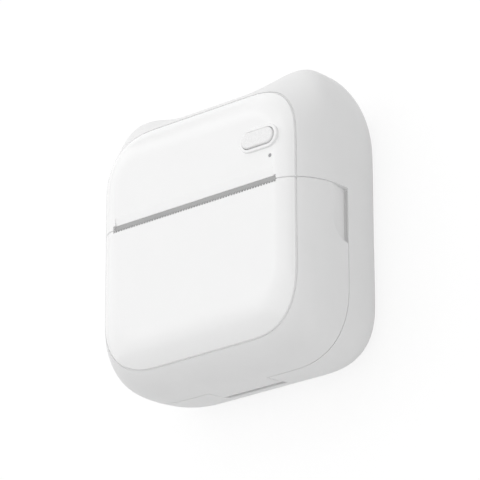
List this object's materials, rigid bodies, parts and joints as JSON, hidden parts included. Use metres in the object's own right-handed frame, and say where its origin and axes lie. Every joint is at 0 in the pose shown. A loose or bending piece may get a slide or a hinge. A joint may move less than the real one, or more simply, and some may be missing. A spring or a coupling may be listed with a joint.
{
  "type": "pocket_printer",
  "caption": "Palm-sized thermal printer with two rounded ears, a hinged paper door across its front, a serrated tear bar and a pill-shaped button",
  "frame": {"origin": "Under the middle of the body, on the plane that its flat back rests on", "axes": "+X to the right as the front is read, +Y towards the eared end, +Z out of the front face"},
  "size_m": [0.0786, 0.0828, 0.0371],
  "materials": {
    "matte_white": "fine satin texture",
    "gloss_white": "polished",
    "inner_plastic": "plain moulded",
    "grey_plastic": "moulded",
    "clear_plastic": "smoky translucent",
    "button_white": "satin gloss",
    "board_green": "solder mask",
    "chip_black": "moulded",
    "connector": "moulded nylon",
    "ribbon": "polyimide film",
    "battery_foil": "pouch foil",
    "steel": "bright",
    "sheet_steel": "zinc plated",
    "head_ceramic": "glazed",
    "head_aluminium": "extruded",
    "gear_plastic": "acetal",
    "platen_rubber": "ground",
    "thermal_paper": "smooth coated",
    "core_card": "wound board"
  },
  "bodies": {
    "root": {"main_housing": "matte_white", "upper_front_panel": "gloss_white", "upper_panel_carrier": "inner_plastic", "bay_bulkhead": "inner_plastic", "roll_cradle": "inner_plastic", "tear_bar": "grey_plastic", "tear_bar_seat": "matte_white", "status_light_pipe": "clear_plastic", "main_board": "board_green", "board_chips": "chip_black", "board_screws": "steel", "button_switch": "chip_black", "charging_port": "steel", "ribbon_socket": "connector", "head_ribbon": "ribbon", "battery": "battery_foil", "head_frame": "sheet_steel", "idler_axle": "steel", "frame_screws": "steel", "hinge_pin": "steel", "head_springs": "steel", "paper_sensor": "chip_black", "feed_motor": "steel"},
    "door": {"door_shell": "matte_white", "door_front_panel": "gloss_white", "platen_carrier": "inner_plastic", "platen_bushes": "gear_plastic", "carrier_screws": "steel"},
    "platen": {"platen_shaft": "steel", "platen_roller": "platen_rubber", "platen_gear": "gear_plastic"},
    "head": {"head_heat_sink": "head_aluminium", "print_head": "head_ceramic"},
    "button": {"power_button": "button_white"},
    "rotor": {"motor_shaft": "steel", "motor_pinion": "gear_plastic"},
    "idler": {"idler_gear": "gear_plastic"},
    "roll": {"paper_roll": "thermal_paper", "roll_core": "core_card"}
  },
  "joints": [
    {"name": "roll_spin", "type": "hinge", "parent": "root", "child": "roll", "pos_m": [0, -0.02244, 0.0181], "axis": [1, 0, 0], "continuous": true},
    {"name": "door_hinge", "type": "hinge", "parent": "root", "child": "door", "pos_m": [0, -0.03868, 0.0118], "axis": [1, 0, 0], "range_deg": [0, 90]},
    {"name": "platen_spin", "type": "hinge", "parent": "door", "child": "platen", "pos_m": [0, -0.00124, 0.0245], "axis": [1, 0, 0], "continuous": true},
    {"name": "idler_spin", "type": "hinge", "parent": "root", "child": "idler", "pos_m": [0, 0.00229, 0.01408], "axis": [1, 0, 0], "continuous": true},
    {"name": "motor_spin", "type": "hinge", "parent": "root", "child": "rotor", "pos_m": [0, 0.01138, 0.00883], "axis": [1, 0, 0], "continuous": true},
    {"name": "head_pivot", "type": "hinge", "parent": "root", "child": "head", "pos_m": [0, -0.00624, 0.01725], "axis": [-1, 0, 0], "range_deg": [0, 2], "stiffness_Nm_per_rad": 0.3},
    {"name": "button_press", "type": "slide", "parent": "root", "child": "button", "axis": [0, 0, -1], "range_m": [0, 0.0005], "stiffness_N_per_m": 300}
  ],
  "couplings": [
    {"joint": "platen_spin", "follows": "roll_spin", "ratio": 2.9},
    {"joint": "idler_spin", "follows": "roll_spin", "ratio": -2.0077},
    {"joint": "motor_spin", "follows": "roll_spin", "ratio": 3.2625}
  ]
}
